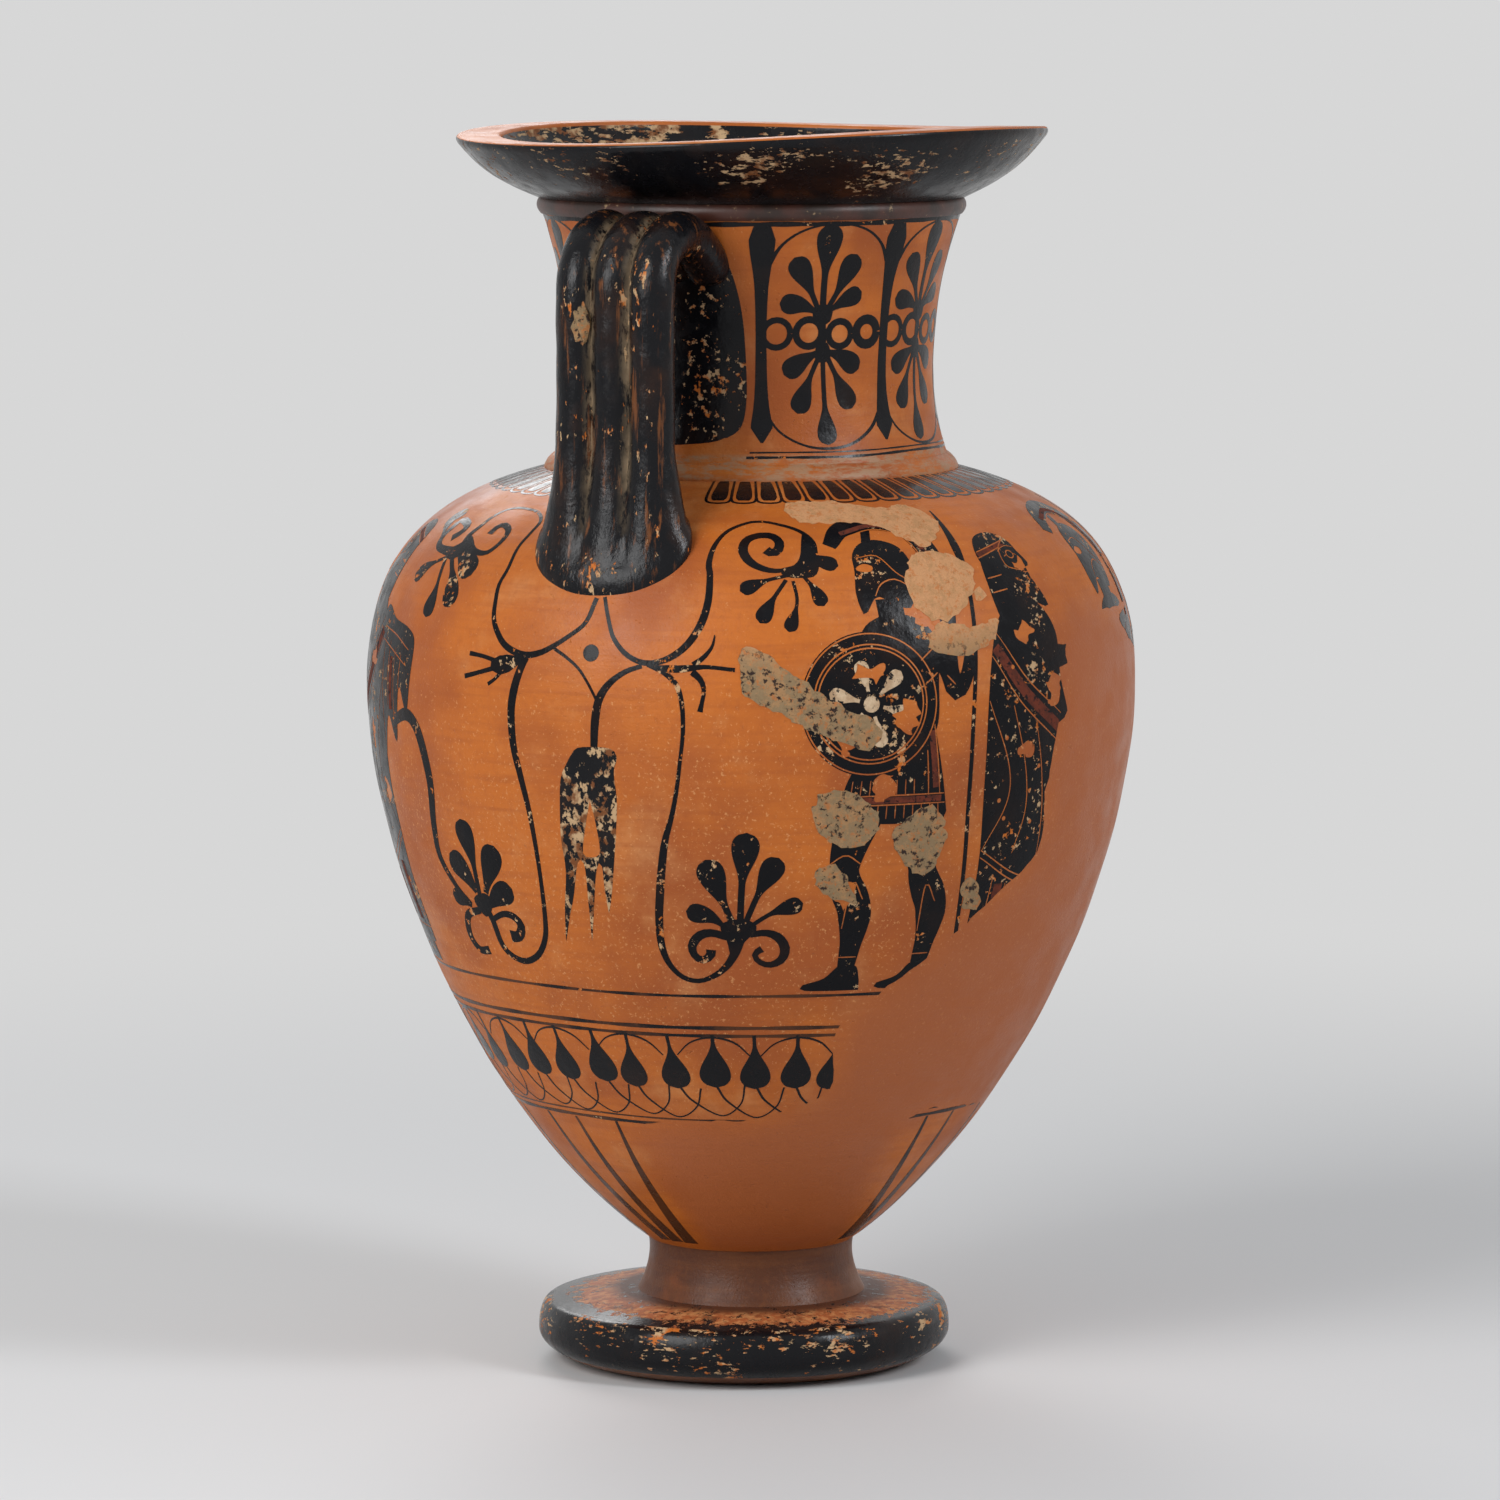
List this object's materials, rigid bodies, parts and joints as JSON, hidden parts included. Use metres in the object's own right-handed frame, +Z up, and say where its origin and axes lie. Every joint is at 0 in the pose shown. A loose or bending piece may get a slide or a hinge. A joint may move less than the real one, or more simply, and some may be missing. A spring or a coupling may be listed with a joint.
{
  "type": "neck amphora",
  "caption": "Two-handled painted clay storage jar with offset neck, flaring mouth, triple-roll handles and disc foot, for holding and pouring liquids.",
  "frame": {"origin": "centre of the jar at the level of the foot's standing face", "axes": "+Z up along the jar's axis, handles at +X and -X, painted sides facing -Y (front) and +Y (back)"},
  "size_m": [0.2492, 0.2492, 0.4],
  "materials": {
    "painted_clay": "burnished orange clay with painted ornament",
    "black_slip": "glossy black slip, chipped to the clay along edges",
    "brown_slip": "thin reddish-brown slip",
    "bare_clay": "reserved brownish-red clay"
  },
  "bodies": {
    "root": {"foot_disc": "black_slip", "foot_stem": "bare_clay", "body_bowl": "painted_clay", "body_shoulder": "painted_clay", "shoulder_collar": "painted_clay", "neck": "painted_clay", "neck_ring": "brown_slip", "mouth": "black_slip", "handle_right_roll_front": "black_slip", "handle_right_roll_middle": "black_slip", "handle_right_roll_back": "black_slip", "handle_right_root": "black_slip", "handle_left_roll_front": "black_slip", "handle_left_roll_middle": "black_slip", "handle_left_roll_back": "black_slip", "handle_left_root": "black_slip"}
  },
  "joints": []
}
